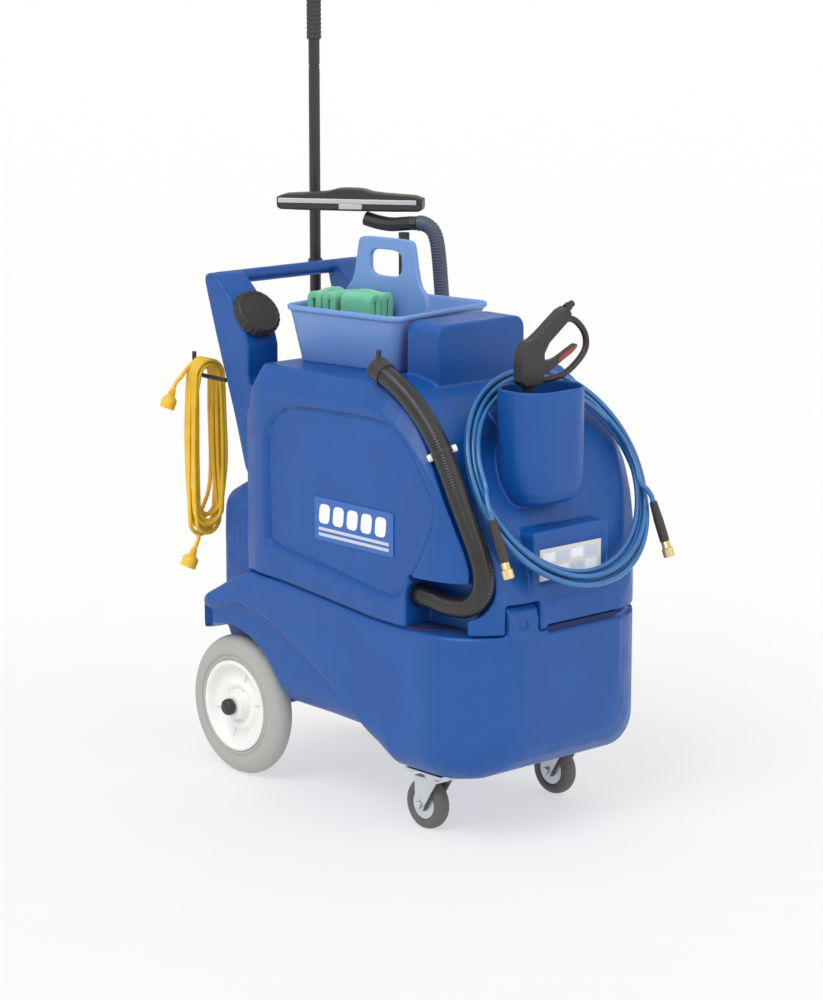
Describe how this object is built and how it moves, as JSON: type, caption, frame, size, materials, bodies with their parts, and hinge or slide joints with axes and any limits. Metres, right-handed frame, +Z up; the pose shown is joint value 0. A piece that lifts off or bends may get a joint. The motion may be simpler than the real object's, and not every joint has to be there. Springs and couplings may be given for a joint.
{
  "type": "carpet cleaner cart",
  "caption": "Wheeled cleaning cart with stacked water tanks, push handle, drain hose, holstered spray gun, coiled pressure hose, tool caddy, floor tool and pole.",
  "frame": {"origin": "centre of the cart's footprint on the ground, without the cord and hose pieces", "axes": "+X towards the casters and holster, +Y to the left of someone looking along +X, +Z up"},
  "size_m": [0.9671, 0.5503, 1.6604],
  "materials": {
    "blue_plastic": "rotationally moulded polyethylene, satin with a fine grain",
    "light_blue_plastic": "injection moulded, satin",
    "black_plastic": "moulded, satin",
    "dark_rubber": "flexible hose and grip, low gloss",
    "grey_rubber": "non-marking grey rubber",
    "white_plastic": "moulded, satin",
    "zinc_steel": "zinc plated",
    "brass": "turned",
    "yellow_cord": "cord jacket, soft gloss",
    "blue_hose": "smooth polyurethane tube",
    "green_cloth": "microfibre",
    "red_plastic": "moulded, satin",
    "motor_metal": "cast or extruded, satin"
  },
  "bodies": {
    "cart": {"base_tank": "blue_plastic", "rear_axle": "zinc_steel", "recovery_tank": "blue_plastic", "side_plate": "white_plastic", "front_label": "white_plastic", "motor_cover": "blue_plastic", "vacuum_motor": "motor_metal", "solution_pump": "black_plastic", "handle_frame": "blue_plastic", "control_panel": "black_plastic", "drain_hose": "dark_rubber", "drain_outlet": "white_plastic", "drain_plug": "black_plastic", "hose_clip": "white_plastic", "pressure_hose_coil": "blue_hose", "pressure_hose_a": "blue_hose", "pressure_hose_b": "blue_hose", "hose_fitting_a": "brass", "hose_fitting_b": "brass", "cord_hook": "black_plastic", "cord_hank": "yellow_cord", "cord_lead_plug": "yellow_cord", "cord_lead_socket": "yellow_cord", "cord_plug": "yellow_cord", "cord_socket": "yellow_cord", "pole_clip": "black_plastic", "pole_cup": "black_plastic", "squeegee_head": "black_plastic", "squeegee_blade": "motor_metal", "tool_elbow": "black_plastic", "tool_stand": "black_plastic", "vacuum_hose": "dark_rubber", "vacuum_port": "black_plastic", "caster_plate_right": "zinc_steel", "caster_plate_left": "zinc_steel"},
    "wheel_right": {"wheel_tyre_right": "grey_rubber", "wheel_hub_right": "white_plastic", "wheel_cap_right": "black_plastic"},
    "wheel_left": {"wheel_tyre_left": "grey_rubber", "wheel_hub_left": "white_plastic", "wheel_cap_left": "black_plastic"},
    "caster_right": {"caster_fork_right": "zinc_steel", "caster_axle_right": "zinc_steel"},
    "caster_left": {"caster_fork_left": "zinc_steel", "caster_axle_left": "zinc_steel"},
    "caster_right_roller": {"caster_wheel_right": "grey_rubber"},
    "caster_left_roller": {"caster_wheel_left": "grey_rubber"},
    "gun": {"gun_body": "black_plastic", "gun_inlet": "brass"},
    "trigger": {"gun_trigger": "red_plastic"},
    "lid": {"tank_lid": "blue_plastic", "float_shutoff": "white_plastic"},
    "caddy": {"caddy": "light_blue_plastic", "cloth_1": "green_cloth", "cloth_2": "green_cloth"},
    "cap": {"fill_cap": "black_plastic"},
    "pole": {"pole": "black_plastic", "pole_grip": "dark_rubber"},
    "pump_rocker": {"pump_switch": "red_plastic"},
    "vacuum_rocker": {"vacuum_switch": "red_plastic"}
  },
  "joints": [
    {"name": "wheel_right_spin", "type": "hinge", "parent": "cart", "child": "wheel_right", "pos_m": [-0.285, -0.197, 0.1425], "axis": [0, 1, 0], "continuous": true},
    {"name": "wheel_left_spin", "type": "hinge", "parent": "cart", "child": "wheel_left", "pos_m": [-0.285, 0.197, 0.1425], "axis": [0, 1, 0], "continuous": true},
    {"name": "caster_right_swivel", "type": "hinge", "parent": "cart", "child": "caster_right", "pos_m": [0.27, -0.17, 0.11], "axis": [0, 0, 1], "continuous": true},
    {"name": "caster_right_roll", "type": "hinge", "parent": "caster_right", "child": "caster_right_roller", "pos_m": [0.242, -0.17, 0.05], "axis": [0, 1, 0], "continuous": true},
    {"name": "caster_left_swivel", "type": "hinge", "parent": "cart", "child": "caster_left", "pos_m": [0.27, 0.17, 0.11], "axis": [0, 0, 1], "continuous": true},
    {"name": "caster_left_roll", "type": "hinge", "parent": "caster_left", "child": "caster_left_roller", "pos_m": [0.242, 0.17, 0.05], "axis": [0, 1, 0], "continuous": true},
    {"name": "gun_lift", "type": "slide", "parent": "cart", "child": "gun", "axis": [0, 0, 1], "range_m": [0, 0.16]},
    {"name": "trigger_pull", "type": "hinge", "parent": "gun", "child": "trigger", "pos_m": [0.385, -0.02, 0.889], "axis": [1, 0, 0], "range_deg": [0, 10], "stiffness_Nm_per_rad": 0.2, "springref_deg": -8.59},
    {"name": "lid_lift", "type": "slide", "parent": "cart", "child": "lid", "axis": [0, 0, 1], "range_m": [0, 0.1]},
    {"name": "caddy_lift", "type": "slide", "parent": "lid", "child": "caddy", "axis": [0, 0, 1], "range_m": [0, 0.2]},
    {"name": "cap_turn", "type": "hinge", "parent": "cart", "child": "cap", "pos_m": [-0.2831, -0.16, 0.9293], "axis": [0.8074, 0, 0.59], "range_deg": [0, 270]},
    {"name": "pole_lift", "type": "slide", "parent": "cart", "child": "pole", "axis": [0, 0, 1], "range_m": [0, 0.3]},
    {"name": "pump_switch_rock", "type": "hinge", "parent": "cart", "child": "pump_rocker", "pos_m": [-0.262, -0.045, 0.775], "axis": [0, 1, 0], "range_deg": [-7, 7]},
    {"name": "vacuum_switch_rock", "type": "hinge", "parent": "cart", "child": "vacuum_rocker", "pos_m": [-0.262, 0.045, 0.775], "axis": [0, 1, 0], "range_deg": [-7, 7]}
  ]
}
